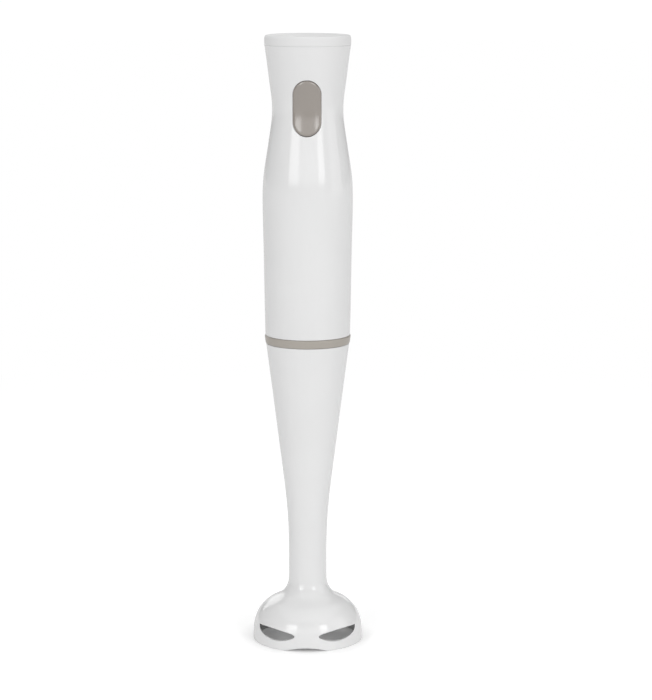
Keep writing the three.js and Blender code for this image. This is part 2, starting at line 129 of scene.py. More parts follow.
# Inside wall of the bell, as radius by height, up to the ceiling; the ceiling and bearing boss beyond it are drawn in
# foot().
BELL_IN = Profile([(0, 30.22), (4, 30.1), (8, 29.75), (12, 28.95), (15, 27.9), (18, 26.1), (20.6, 23.6), (22.2, 21.4)])


def rot(u, r, z):
    return np.stack([r * np.sin(u), -r * np.cos(u), z], axis=-1)


# ------------------------------------------------------------------ mesh tools
class Sheet:
    """Quads over a (u, v) rectangle, with holes whose edges are lofted to the outlines given. Loops keep the sheet on their left."""

    def __init__(self, us, vs, periodic=False, holes=()):
        self.us, self.vs, self.periodic = np.asarray(us, float), np.asarray(vs, float), periodic
        nu, nv = len(us), len(vs)
        self.uv = [(u, v) for v in vs for u in us]
        self.faces, self.loops = [], []
        idx = lambda i, j: j * nu + (i % nu if periodic else i)
        inside = np.zeros((nu if periodic else nu - 1, nv - 1), bool)
        for hole in holes:
            for i in range(hole["i0"], hole["i1"]):
                for j in range(hole["j0"], hole["j1"]):
                    inside[i % inside.shape[0], j] = True
        for j in range(nv - 1):
            for i in range(inside.shape[0]):
                if not inside[i, j]:
                    self.faces.append((idx(i, j), idx(i + 1, j), idx(i + 1, j + 1), idx(i, j + 1)))
        if periodic:
            self.loops.append([idx(i, 0) for i in range(nu)])
            self.loops.append([idx(i, nv - 1) for i in reversed(range(nu))])
        else:
            loop = [idx(i, 0) for i in range(nu)] + [idx(nu - 1, j) for j in range(1, nv)]
            loop += [idx(i, nv - 1) for i in range(nu - 2, -1, -1)] + [idx(0, j) for j in range(nv - 2, 0, -1)]
            self.loops.append(loop)
        for hole in holes:
            i0, i1, j0, j1 = hole["i0"], hole["i1"], hole["j0"], hole["j1"]
            ring = [idx(i, j0) for i in range(i0, i1)] + [idx(i1, j) for j in range(j0, j1)]
            ring += [idx(i, j1) for i in range(i1, i0, -1)] + [idx(i0, j) for j in range(j1, j0, -1)]
            per = 2 * math.pi
            at = []
            for k in ring:
                u, v = self.uv[k]
                if periodic:  # one unbroken range of u round the hole
                    c = hole["centre"][0]
                    u = (u - c + math.pi) % per - math.pi + c
                at.append((u, v))
            at = np.array(at)
            c = np.array(hole["centre"])
            half = np.array([np.ptp(at[:, 0]) / 2, np.ptp(at[:, 1]) / 2])
            out = np.array(hole["outline"], float)
            ang = np.unwrap(np.arctan2(*((out - c) / half).T[::-1]))
            if ang[-1] < ang[0]:
                out, ang = out[::-1], ang[::-1]
            out = np.concatenate([out[:-1] if np.allclose(out[0], out[-1]) else out])
            ang = np.unwrap(np.arctan2(*((out - c) / half).T[::-1]))
            want = np.arctan2(*((at - c) / half).T[::-1])
            full = np.concatenate([out, out[:1]])
            angf = np.concatenate([ang, [ang[0] + per]])
            w = (want - ang[0]) % per + ang[0]
            target = np.stack([np.interp(w, angf, full[:, 0]), np.interp(w, angf, full[:, 1])], axis=1)
            if "corner" in hole:  # one point lands on the outline's sharp corner
                off = (target - hole["corner"]) / half
                target[int(np.argmin((off**2).sum(axis=1)))] = hole["corner"]
            if "remap" in hole:
                target = hole["remap"](target)
            rings = hole.get("rings", 6)
            prev = ring
            for s in [1 - (1 - (q + 1) / rings) ** 1.6 for q in range(rings)]:
                pos = at * (1 - s) + target * s
                start = len(self.uv)
                self.uv += [tuple(x) for x in pos]
                cur = list(range(start, start + len(ring)))
                for a in range(len(ring)):
                    b = (a + 1) % len(ring)
                    self.faces.append((prev[a], prev[b], cur[b], cur[a]))
                prev = cur
            self.loops.append(prev[::-1])
        self.uv = np.array(self.uv, float)

    def points(self, surface):
        return surface(self.uv[:, 0], self.uv[:, 1])

    def normals(self, surface):
        e = 1e-4
        u, v = self.uv[:, 0], self.uv[:, 1]
        du = surface(u + e, v) - surface(u - e, v)
        dv = surface(u, v + e) - surface(u, v - e)
        n = np.cross(du, dv)
        return n / np.maximum(np.linalg.norm(n, axis=1, keepdims=True), 1e-12)


class Mesh:
    """Vertices and faces gathered piece by piece, in millimetres."""

    def __init__(self):
        self.v, self.f, self.n = [], [], 0

    def add(self, pts):
        start = self.n
        self.v.append(np.asarray(pts, float))
        self.n += len(pts)
        return start

    def sheet(self, sheet, surface, flip=False):
        start = self.add(sheet.points(surface))
        for f in sheet.faces:
            f = tuple(x + start for x in f)
            self.f.append(f[::-1] if flip else f)
        return [[x + start for x in loop] for loop in sheet.loops]

    def all(self):
        return np.concatenate(self.v)

    def band(self, a, b):
        n = len(a)
        for k in range(n):
            q = (k + 1) % n
            self.f.append((a[q], a[k], b[k], b[q]))

    def rings(self, loop, n, rho, steps=4, up=False):
        """Rows that round the edge at a loop off. n are the unit normals there; the rows run from the surface over the edge."""
        p = self.all()[loop]
        d = np.roll(p, -1, axis=0) - np.roll(p, 1, axis=0)
        d /= np.maximum(np.linalg.norm(d, axis=1, keepdims=True), 1e-12)
        t = np.cross(d, n)
        t /= np.maximum(np.linalg.norm(t, axis=1, keepdims=True), 1e-12)
        m = -n if up else n
        rows = []
        for s in range(1, steps + 1):
            a = math.pi / 2 * s / steps
            start = self.add(p + t * rho * math.sin(a) - m * rho * (1 - math.cos(a)))
            rows.append(list(range(start, start + len(loop))))
        return rows

    def join(self, outer, n_out, rho_out, inner, n_in, rho_in, steps=4):
        """Closes the wall between an outer and an inner loop, with both edges rounded."""
        rows = [outer] + self.rings(outer, n_out, rho_out, steps)
        back = self.rings(inner, n_in, rho_in, max(2, steps - 1), up=True)
        rows += back[::-1] + [inner]
        for a, b in zip(rows, rows[1:]):
            self.band(a, b)

    def object(self, name, material, sharp=38.0, merge=0.0, clamp=None):
        pts = self.all()
        if clamp is not None:
            pts = clamp(pts)
        me = bpy.data.meshes.new(name)
        me.from_pydata((pts * MM).tolist(), [], [list(map(int, f)) for f in self.f])
        bm = bmesh.new()
        bm.from_mesh(me)
        if merge:
            bmesh.ops.remove_doubles(bm, verts=bm.verts, dist=merge * MM)
        bmesh.ops.dissolve_degenerate(bm, dist=1e-8, edges=bm.edges)
        loose = [v for v in bm.verts if not v.link_faces]
        bmesh.ops.delete(bm, geom=loose, context="VERTS")
        for f in bm.faces:
            f.smooth = True
        limit = math.radians(sharp)
        for e in bm.edges:
            if len(e.link_faces) == 2 and e.calc_face_angle(0) > limit:
                e.smooth = False
        bm.to_mesh(me)
        bm.free()
        me.materials.append(material)
        o = bpy.data.objects.new(name, me)
        scene.collection.objects.link(o)
        return o


def turned(name, profile, material, segs=192, axis="z", at=(0, 0, 0), sharp=38.0, merge=0.0):
    """A solid of revolution from (r, h) pairs in mm. Ends on the axis, or closes on itself."""
    p = np.array(profile, float)
    closed = np.allclose(p[0], p[-1])
    if closed:
        p = p[:-1]
    m = Mesh()
    th = np.linspace(0, 2 * math.pi, segs, endpoint=False)
    rows = []
    for r, h in p:
        if r < 1e-6:
            start = m.add(np.array([[0, 0, h]]))
            rows.append([start] * segs)
        else:
            start = m.add(np.stack([r * np.cos(th), r * np.sin(th), np.full(segs, h)], axis=1))
            rows.append(list(range(start, start + segs)))
    pairs = list(zip(rows, rows[1:] + ([rows[0]] if closed else [])))
    if not closed:
        pairs = pairs[: len(rows) - 1]
    for a, b in pairs:
        for k in range(segs):
            q = (k + 1) % segs
            f = [a[k], a[q], b[q], b[k]]
            f = [x for i, x in enumerate(f) if x != f[i - 1]]
            if len(f) >= 3:
                m.f.append(tuple(f))
    pts = m.all()
    if axis == "y":
        pts = np.stack([pts[:, 0], pts[:, 2], -pts[:, 1]], axis=1)
    if axis == "-y":
        pts = np.stack([pts[:, 0], -pts[:, 2], pts[:, 1]], axis=1)
    m.v = [pts + np.array(at, float)]
    o = m.object(name, material, sharp, merge)
    bm = bmesh.new()
    bm.from_mesh(o.data)
    if bm.calc_volume(signed=True) < 0:
        bmesh.ops.reverse_faces(bm, faces=bm.faces)
        bm.to_mesh(o.data)
    bm.free()
    return o


def rounded(points, radii, steps=6):
    """A polyline with its corners rounded off."""
    p = [np.array(q, float) for q in points]
    out = []
    for i, q in enumerate(p):
        rad = radii[i] if isinstance(radii, (list, tuple)) else radii
        if i in (0, len(p) - 1) or rad <= 0:
            out.append(q)
            continue
        a, b = p[i - 1] - q, p[i + 1] - q
        la, lb = np.linalg.norm(a), np.linalg.norm(b)
        a, b = a / la, b / lb
        ang = math.acos(float(np.clip(a @ b, -1, 1)))
        if ang > math.pi - 0.05:
            out.append(q)
            continue
        d = min(rad / math.tan(ang / 2), la * 0.48, lb * 0.48)
        rr = d * math.tan(ang / 2)
        c = q + (a + b) / np.linalg.norm(a + b) * (rr / math.sin(ang / 2))
        s, e = q + a * d - c, q + b * d - c
        full = math.acos(float(np.clip((s @ e) / (np.linalg.norm(s) * np.linalg.norm(e)), -1, 1)))
        for k in range(steps + 1):
            w = k / steps
            out.append(c + (math.sin((1 - w) * full) * s + math.sin(w * full) * e) / math.sin(full))
    return [tuple(x) for x in out]


def place(o, body, slot, *nodes):
    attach(o, body)
    if nodes:
        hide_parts(*nodes)
    return o


# ------------------------------------------------------------------ materials
def nodes_of(name):
    m = bpy.data.materials.new(name)
    m.use_nodes = True
    t = m.node_tree
    bsdf = t.nodes["Principled BSDF"]
    co = t.nodes.new("ShaderNodeTexCoord")
    return m, t, bsdf, co


def noise(t, co, scale, detail=3.0, rough=0.5, stretch=None, distort=0.0):
    n = t.nodes.new("ShaderNodeTexNoise")
    n.inputs["Scale"].default_value = scale
    n.inputs["Detail"].default_value = detail
    n.inputs["Roughness"].default_value = rough
    n.inputs["Distortion"].default_value = distort
    if stretch:
        mp = t.nodes.new("ShaderNodeMapping")
        mp.inputs["Scale"].default_value = stretch
        t.links.new(co.outputs["Object"], mp.inputs["Vector"])
        t.links.new(mp.outputs["Vector"], n.inputs["Vector"])
    else:
        t.links.new(co.outputs["Object"], n.inputs["Vector"])
    return n


def ramp(t, src, lo, hi, a=0.35, b=0.65):
    r = t.nodes.new("ShaderNodeMapRange")
    r.inputs["From Min"].default_value = a
    r.inputs["From Max"].default_value = b
    r.inputs["To Min"].default_value = lo
    r.inputs["To Max"].default_value = hi
    t.links.new(src, r.inputs["Value"])
    return r.outputs["Result"]


def mix_rgb(t, fac, a, b):
    m = t.nodes.new("ShaderNodeMix")
    m.data_type = "RGBA"
    m.inputs["A"].default_value = (*a, 1)
    m.inputs["B"].default_value = (*b, 1)
    t.links.new(fac, m.inputs["Factor"])
    return m.outputs["Result"]


def bump(t, bsdf, heights):
    """Several height fields, each (socket, strength, distance), stacked into one normal."""
    last = None
    for h, strength, dist in heights:
        b = t.nodes.new("ShaderNodeBump")
        b.inputs["Strength"].default_value = strength
        b.inputs["Distance"].default_value = dist
        t.links.new(h, b.inputs["Height"])
        if last:
            t.links.new(last, b.inputs["Normal"])
        last = b.outputs["Normal"]
    t.links.new(last, bsdf.inputs["Normal"])


def plastic(name, rgb, rough=0.22, peel=0.05, grain=0.02, vary=0.012, ior=1.5, metallic=0.0, rough_vary=0.05, coat=0.0, peel_scale=260, grain_scale=3800):
    """Injection-moulded plastic: faint orange peel, fine grain, soft colour and gloss variation."""
    m, t, bsdf, co = nodes_of(name)
    big = noise(t, co, 22, 2.0)
    fine = noise(t, co, grain_scale, 2.0, 0.6)
    peeln = noise(t, co, peel_scale, 2.0, 0.45)
    wear = noise(t, co, 90, 4.0, 0.6)
    a = tuple(c * (1 - vary) for c in rgb)
    b = tuple(min(1.0, c * (1 + vary)) for c in rgb)
    t.links.new(mix_rgb(t, ramp(t, big.outputs["Fac"], 0, 1), a, b), bsdf.inputs["Base Color"])
    t.links.new(ramp(t, wear.outputs["Fac"], rough * (1 - rough_vary * 2), rough * (1 + rough_vary * 3)), bsdf.inputs["Roughness"])
    bsdf.inputs["IOR"].default_value = ior
    bsdf.inputs["Metallic"].default_value = metallic
    if coat:
        bsdf.inputs["Coat Weight"].default_value = coat
        bsdf.inputs["Coat Roughness"].default_value = 0.12
    bump(t, bsdf, [(peeln.outputs["Fac"], peel, 0.0002), (fine.outputs["Fac"], grain, 0.00003)])
    return m


def rubber(name, rgb, rough=0.62):
    m, t, bsdf, co = nodes_of(name)
    big = noise(t, co, 60, 3.0)
    fine = noise(t, co, 5200, 3.0, 0.7)
    t.links.new(mix_rgb(t, ramp(t, big.outputs["Fac"], 0, 1), tuple(c * 0.88 for c in rgb), tuple(c * 1.15 for c in rgb)), bsdf.inputs["Base Color"])
    t.links.new(ramp(t, fine.outputs["Fac"], rough * 0.85, rough * 1.15), bsdf.inputs["Roughness"])
    bump(t, bsdf, [(fine.outputs["Fac"], 0.35, 0.00006)])
    return m


def metal(name, rgb, rough=0.28, stretch=(60, 1800, 1800), scale=1.0, streak=0.35, vary=0.06, along="x"):
    """Ground or brushed metal: fine streaks along one axis, with patchy gloss."""
    m, t, bsdf, co = nodes_of(name)
    order = {"x": stretch, "y": (stretch[1], stretch[0], stretch[2]), "z": (stretch[1], stretch[2], stretch[0])}[along]
    brush = noise(t, co, scale, 4.0, 0.65, stretch=order)
    patch = noise(t, co, 140, 3.0, 0.55)
    t.links.new(mix_rgb(t, ramp(t, brush.outputs["Fac"], 0, 1), tuple(c * (1 - vary) for c in rgb), tuple(min(1, c * (1 + vary)) for c in rgb)), bsdf.inputs["Base Color"])
    t.links.new(ramp(t, patch.outputs["Fac"], rough * 0.75, rough * 1.35), bsdf.inputs["Roughness"])
    bsdf.inputs["Metallic"].default_value = 1.0
    bsdf.inputs["Anisotropic"].default_value = 0.4
    bump(t, bsdf, [(brush.outputs["Fac"], streak, 0.00002)])
    return m


def srgb(*c):
    return tuple(((x / 255 + 0.055) / 1.055) ** 2.4 if x > 10 else x / 255 / 12.92 for x in c)


MAT = {
    "housing": plastic("body_white", (0.775, 0.775, 0.775), rough=0.12, peel=0.05, grain=0.012),
    "cap": plastic("cap_white", (0.765, 0.765, 0.765), rough=0.6, peel=0.05, grain=0.03, ior=1.3),
    "trim": plastic("trim_taupe", srgb(169, 163, 155), rough=0.34, peel=0.02, grain=0.01, vary=0.012),
    "button": plastic("button_taupe", srgb(149, 142, 135), rough=0.19, peel=0.03, grain=0.015, ior=1.9, vary=0.02),
    "inner_grey": plastic("inner_grey", (0.33, 0.335, 0.34), rough=0.45, grain=0.2, vary=0.05),
    "rubber": rubber("rubber_black", (0.018, 0.018, 0.018)),
    "steel": metal("ground_steel", (0.60, 0.61, 0.63), rough=0.25, along="z"),
    "screw_steel": metal("zinc_steel", (0.56, 0.57, 0.60), rough=0.32, scale=1.0, stretch=(500, 700, 700)),
    "blade_steel": metal("blade_steel", (0.66, 0.67, 0.68), rough=0.2, along="x"),
    "hub_plastic": plastic("hub_white", (0.72, 0.71, 0.68), rough=0.35, grain=0.08, vary=0.03),
    "ferrite": plastic("ferrite", (0.03, 0.03, 0.033), rough=0.55, grain=0.4, vary=0.12),
    "lamination": metal("lamination", (0.30, 0.31, 0.33), rough=0.4, stretch=(1, 1, 2600), vary=0.25),
    "dark_plastic": plastic("dark_plastic", (0.022, 0.022, 0.025), rough=0.4, grain=0.15, vary=0.06),
    "capacitor": plastic("capacitor_yellow", (0.52, 0.33, 0.03), rough=0.35, grain=0.05, vary=0.05),
    "board": plastic("board_green", (0.02, 0.11, 0.05), rough=0.3, grain=0.2, vary=0.1),
    "carbon": plastic("carbon", (0.012, 0.012, 0.013), rough=0.5, grain=0.4, vary=0.1),
    "copper": metal("copper", (0.62, 0.27, 0.12), rough=0.3, stretch=(1500, 1500, 60), vary=0.15),
    "bronze": metal("sintered_bronze", (0.44, 0.28, 0.12), rough=0.42, stretch=(900, 900, 900), vary=0.15),
    "plunger_red": plastic("plunger_red", (0.34, 0.03, 0.02), rough=0.35, vary=0.05),
    "lead_red": plastic("lead_red", (0.36, 0.015, 0.012), rough=0.4, vary=0.06),
    "lead_dark": plastic("lead_dark", (0.012, 0.012, 0.014), rough=0.4, vary=0.06),
    "lead_blue": plastic("lead_blue", (0.02, 0.07, 0.34), rough=0.4, vary=0.06),
    "lead_brown": plastic("lead_brown", (0.16, 0.06, 0.02), rough=0.4, vary=0.06),
}
for row in frame["record"]["subparts"]:
    o = frame["nodes"].get(row["node"])
    if o is not None:
        for s in o.material_slots:
            s.material = MAT[row["material_slot"]]
        if not o.material_slots:
            o.data.materials.append(MAT[row["material_slot"]])

# ------------------------------------------------------------------ handle halves
SEAM = 0.07  # half of the gap at the parting line
EDGE = 0.1  # rounding of the shells' edges


def half_shell(name, centre, holes):
    """One half of the handle. centre is its middle azimuth; holes are outlines in (x or -x, z) with a rounding each."""
    nu, z0, z1 = 96, SHELL_Z0 + EDGE, SHELL_Z1 - EDGE + 0.1
    us = np.linspace(-1, 1, nu + 1)
    vs = np.linspace(z0, z1, 141)

    def surf(inset):
        def f(u, v):
            r = HANDLE(v) - inset
            lim = math.pi / 2 - np.arcsin((SEAM + EDGE) / r)
            return rot(u * lim + centre, r, v)
        return f

    def uv(x, z):
        r = HANDLE(z)
        lim = math.pi / 2 - np.arcsin((SEAM + EDGE) / r)
        return np.arcsin(x / r) / lim, z

    hs = []
    for outline, margin, rings, rho, centre_xz in holes:
        o = np.array([uv(x, z) for x, z in outline])
        lo, hi = o.min(0), o.max(0)
        i0 = int(np.searchsorted(us, lo[0] - margin / 24) - 1)
        i1 = int(np.searchsorted(us, hi[0] + margin / 24))
        j0 = int(np.searchsorted(vs, lo[1] - margin) - 1)
        j1 = int(np.searchsorted(vs, hi[1] + margin))
        hs.append({"i0": i0, "i1": i1, "j0": j0, "j1": j1, "centre": uv(*centre_xz), "outline": o, "rings": rings, "rho": rho})
    sh = Sheet(us, vs, False, hs)
    m = Mesh()
    outer, inner = surf(0.0), surf(WALL)
    lo = m.sheet(sh, outer)
    li = m.sheet(sh, inner, flip=True)
    no, ni = sh.normals(outer), sh.normals(inner)
    for k, (a, b) in enumerate(zip(lo, li)):
        rho = EDGE if k == 0 else hs[k - 1]["rho"]
        ids = sh.loops[k]
        m.join(a, no[ids], rho, b, ni[ids], 0.15, steps=5)
    return m.object(name, MAT["housing"], sharp=50)


def stadium(w, h, zc, n=120):
    r, d = w / 2, (h - w) / 2
    pts = []
    arc, straight = math.pi * r, 2 * d
    total = 2 * arc + 2 * straight
    for k in range(n):
        s = total * k / n
        if s < straight:
            pts.append((r, -d + s))
        elif s < straight + arc:
            a = (s - straight) / r
            pts.append((r * math.cos(a), d + r * math.sin(a)))
        elif s < 2 * straight + arc:
            pts.append((-r, d - (s - straight - arc)))
        else:
            a = math.pi + (s - 2 * straight - arc) / r
            pts.append((r * math.cos(a), -d + r * math.sin(a)))
    return [(x, z + zc) for x, z in pts]


def circle(r, xc, zc, n=72):
    return [(xc + r * math.cos(2 * math.pi * k / n), zc + r * math.sin(2 * math.pi * k / n)) for k in range(n)]


BTN_Z = (BTN_LO.z + BTN_HI.z) / 2 / MM
BTN_W, BTN_H, BTN_GAP = 16.42, 31.92, 0.19
HOLE_RHO = 0.25
front = half_shell(
    "front_shell", 0.0,
    [(stadium(BTN_W + 2 * (BTN_GAP + HOLE_RHO), BTN_H + 2 * (BTN_GAP + HOLE_RHO), BTN_Z, 200), 4.0, 8, HOLE_RHO, (0.0, BTN_Z))],
)
place(front, "motor_unit", "housing", "front_housing")

SCREW_Z = (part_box("housing_screw_upper")[0].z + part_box("housing_screw_upper")[1].z) / 2 / MM
GLAND_Z = (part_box("cord_gland")[0].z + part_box("cord_gland")[1].z) / 2 / MM
LOW_Z = (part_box("housing_screw_lower_left")[0].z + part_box("housing_screw_lower_left")[1].z) / 2 / MM
LOW_X = (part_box("housing_screw_lower_right")[0].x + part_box("housing_screw_lower_right")[1].x) / 2 / MM
rear = half_shell(
    "rear_shell", math.pi,
    [
        (circle(5.75 + 0.5, 0, GLAND_Z), 3.0, 5, 0.5, (0.0, GLAND_Z)),
        (circle(3.05 + 0.4, 0, SCREW_Z), 3.0, 5, 0.4, (0.0, SCREW_Z)),
        (circle(2.5 + 0.35, LOW_X, LOW_Z, 56), 2.2, 4, 0.35, (LOW_X, LOW_Z)),
        (circle(2.5 + 0.35, -LOW_X, LOW_Z, 56), 2.2, 4, 0.35, (-LOW_X, LOW_Z)),
    ],
)
place(rear, "motor_unit", "housing", "rear_housing")


# Screw wells behind the recesses: tubes from the wall inwards, closed by the screw's seat.
def well(name, r_in, r_out, x, z, y_seat, y_mouth, bore):
    prof = rounded([(bore, y_seat - 1.6), (r_out, y_seat - 1.6), (r_out, y_mouth), (r_in, y_mouth), (r_in, y_seat), (bore, y_seat), (bore, y_seat - 1.6)], 0.12, 3)
    prof[-1] = prof[0]
    o = turned(name, prof, MAT["housing"], 72, "y", (x, 0, z))
    # The mouth follows the middle of the shell's wall.
    for v in o.data.vertices:
        if v.co.y > (y_mouth - 0.3) * MM:
            reach = math.sqrt((HANDLE(z) - 1.0) ** 2 - (v.co.x / MM) ** 2)
            v.co.y = max(reach, y_seat + 0.3) * MM + v.co.y - y_mouth * MM
    return place(o, "motor_unit", "housing")


well("screw_well_upper", 3.05, 4.3, 0, SCREW_Z, 19.0, 20.9, 1.7)
for side, sx in (("left", -1), ("right", 1)):
    well("screw_well_lower_" + side, 2.5, 3.15, sx * LOW_X, LOW_Z, 11.5, 14.0, 1.5)

# ------------------------------------------------------------------ power button
def button():
    m = Mesh()
    outline = np.array(stadium(BTN_W, BTN_H, 0.0, 160))
    d = (BTN_H - BTN_W) / 2
    spine = np.stack([np.zeros(len(outline)), np.clip(outline[:, 1], -d, d)], axis=1)
    nrm = outline - spine
    rad = np.linalg.norm(nrm, axis=1, keepdims=True)
    nrm = nrm / rad
    R = BTN_W / 2

    def face(q, t):
        """Point of the face at share t from the outline to the spine, with a soft crown."""
        x, z = q[:, 0], q[:, 1] + BTN_Z
        r = HANDLE(z) - 0.1 + 0.3 * (1 - (1 - t) ** 2.2)
        return np.stack([x, -np.sqrt(np.maximum(r * r - x * x, 1)), z], axis=1)

    fil, deep = 1.35, 0.85  # width and depth of the soft edge
    rows = []
    # Back plate and lip, then the side wall, the rounded edge and the crowned face.
    for off, y in ((-2.4, -14.0), (0.65, -14.0), (0.78, -14.15), (0.78, -15.45), (0.65, -15.6), (0.05, -15.6)):
        q = outline + nrm * off
        rows.append(np.stack([q[:, 0], np.full(len(q), y), q[:, 1] + BTN_Z], axis=1))
    edge = face(outline, 0.0)
    for depth in (2.6, 1.6, deep):
        rows.append(edge + np.array([0, depth, 0]))
    for s in range(1, 9):
        a = math.pi / 2 * s / 8
        q = outline - nrm * fil * (1 - math.cos(a))
        p = face(q, fil / R * (1 - math.cos(a)))
        rows.append(p + np.array([0, deep * (1 - math.sin(a)), 0]))
    for s in np.linspace(fil / R, 0.93, 16)[1:]:
        q = outline - nrm * R * s
        rows.append(face(q, s))
    ids = []
    for row in rows:
        start = m.add(row)
        ids.append(list(range(start, start + len(row))))
    n = len(outline)
    for a, b in zip(ids, ids[1:]):
        for k in range(n):
            q = (k + 1) % n
            m.f.append((a[k], a[q], b[q], b[k]))
    # Close the crown and the back across the long axis: outline point k faces its mirror.
    def close(loop, flip):
        x = m.all()[loop][:, 0]
        z = m.all()[loop][:, 2]
        right = [i for i in range(n) if x[i] >= -1e-6]
        # The outline starts at the lower right and runs up, over the top, down the left side and under.
        order = sorted(range(n), key=lambda i: 0)
        top = int(np.argmax(z))
        seq_r = [(top - k) % n for k in range(0, n // 2 + 1)]
        seq_l = [(top + k) % n for k in range(0, n // 2 + 1)]
        for k in range(n // 2):
            f = [loop[seq_l[k]], loop[seq_l[k + 1]], loop[seq_r[k + 1]], loop[seq_r[k]]]
            f = [v for i, v in enumerate(f) if v != f[i - 1]]
            if len(f) >= 3:
                m.f.append(tuple(f[::-1]) if flip else tuple(f))
    close(ids[-1], False)
    close(ids[0], True)
    o = m.object("button_cap", MAT["button"], sharp=42)
    bm = bmesh.new()
    bm.from_mesh(o.data)
    bmesh.ops.recalc_face_normals(bm, faces=bm.faces)
    if bm.calc_volume(signed=True) < 0:
        bmesh.ops.reverse_faces(bm, faces=bm.faces)
    bm.to_mesh(o.data)
    bm.free()
    return o


btn = button()
place(btn, "power_button", "button", "power_button")
stem = turned("button_stem", rounded([(0, 12.4), (1.5, 12.4), (1.5, 14.1), (0, 14.1)], [0, 0.3, 0, 0], 4), MAT["button"], 40, "-y", (0, 0, BTN_Z))
place(stem, "power_button", "button")

# ------------------------------------------------------------------ top cap and trim ring
cap_prof = rounded(
    [(0, 355.8), (19.7, 355.8), (19.7, 348.5), (21.2, 348.5), (21.4, 354.16), (25.1, 354.16), (25.13, 355.2), (25.13, 357.4), (25.02, 358.7), (24.5, 359.75), (23.2, 359.95), (14.0, 359.98), (0, 360.0)],
    [0, 0.3, 0.3, 0.3, 0.2, 0.05, 0.8, 2.0, 1.2, 0.7, 1.5, 5.0, 0], 6,
)
place(turned("cap", cap_prof, MAT["cap"], 256), "motor_unit", "housing", "top_cap")

ring_prof = rounded(
    [(19.4, RING_LO), (24.5, RING_LO), (24.8, RING_LO + 0.3), (24.95, 181.2), (25.1, 182.4), (25.27, 183.4), (25.27, 184.15), (25.0, RING_HI), (19.4, RING_HI), (19.4, RING_LO)],
    [0, 0.2, 0.3, 2.0, 1.2, 0.6, 0.4, 0.2, 0.2, 0], 5,
)
ring_prof[-1] = ring_prof[0]
place(turned("ring", ring_prof, MAT["trim"], 256), "motor_unit", "trim", "trim_ring")

# ------------------------------------------------------------------ foot: bell, neck and taper in one
# Outline of the right front slot: distance from the middle and height. It is cut straight through along Y.
SLOT = [
    (28.3, 11.8), (25.7, 12.05), (23.1, 12.14), (20.1, 12.07), (17.75, 11.84), (14.3, 11.3), (10.6, 10.6), (8.4, 9.85), (7.25, 8.85), (8.1, 7.75),
    (10.0, 6.88), (12.4, 6.07), (14.8, 5.47), (17.2, 5.2), (19.6, 5.17), (21.3, 5.38), (23.1, 5.78), (25.0, 6.36), (26.4, 7.0), (27.6, 8.1), (28.35, 9.6),
]


def closed_smooth(points, n=140, corner=None):
    """A smooth closed curve through the points, broken at one corner."""
    p = list(points[corner:]) + list(points[: corner + 1])
    d = natural(p, 30)
    s = np.concatenate([[0], np.cumsum(np.linalg.norm(np.diff(d, axis=0), axis=1))])
    w = np.linspace(0, s[-1], n, endpoint=False)
    return np.stack([np.interp(w, s, d[:, 0]), np.interp(w, s, d[:, 1])], axis=1)


RHO_BELL = 0.45
RHO_SLOT = 0.28


def grown(points, d):
    """The outline moved outwards by d, with its sharp corner kept."""
    q = np.asarray(points, float)
    t = np.roll(q, -1, axis=0) - np.roll(q, 1, axis=0)
    t[0] = q[1] - q[-1]
    t /= np.linalg.norm(t, axis=1, keepdims=True)
    n = np.stack([t[:, 1], -t[:, 0]], axis=1)
    if np.sum(n * (q - q.mean(axis=0))) < 0:
        n = -n
    return q + n * d


slot_mm = grown(closed_smooth(SLOT, 220, 0), RHO_SLOT)
SC_W, SC_H = 12.4, 2.3
SC_R = (SC_W**2 + SC_H**2) / (2 * SC_H)


def scallop(u, r):
    x = np.abs(r * np.sin(u))
    return np.where(x < SC_W, SC_H - SC_R + np.sqrt(np.maximum(SC_R**2 - np.minimum(x, SC_W) ** 2, 0)), 0.0)


def foot_outer(u, v):
    z = v + scallop(u, 32.6) * np.clip(1 - v / 5.0, 0, 1)
    return rot(u, FOOT(z), z)


def foot_inner_bell(u, v):
    z = v + scallop(u, 32.6) * np.clip(1 - v / 5.0, 0, 1)
    return rot(u, BELL_IN(z), z)


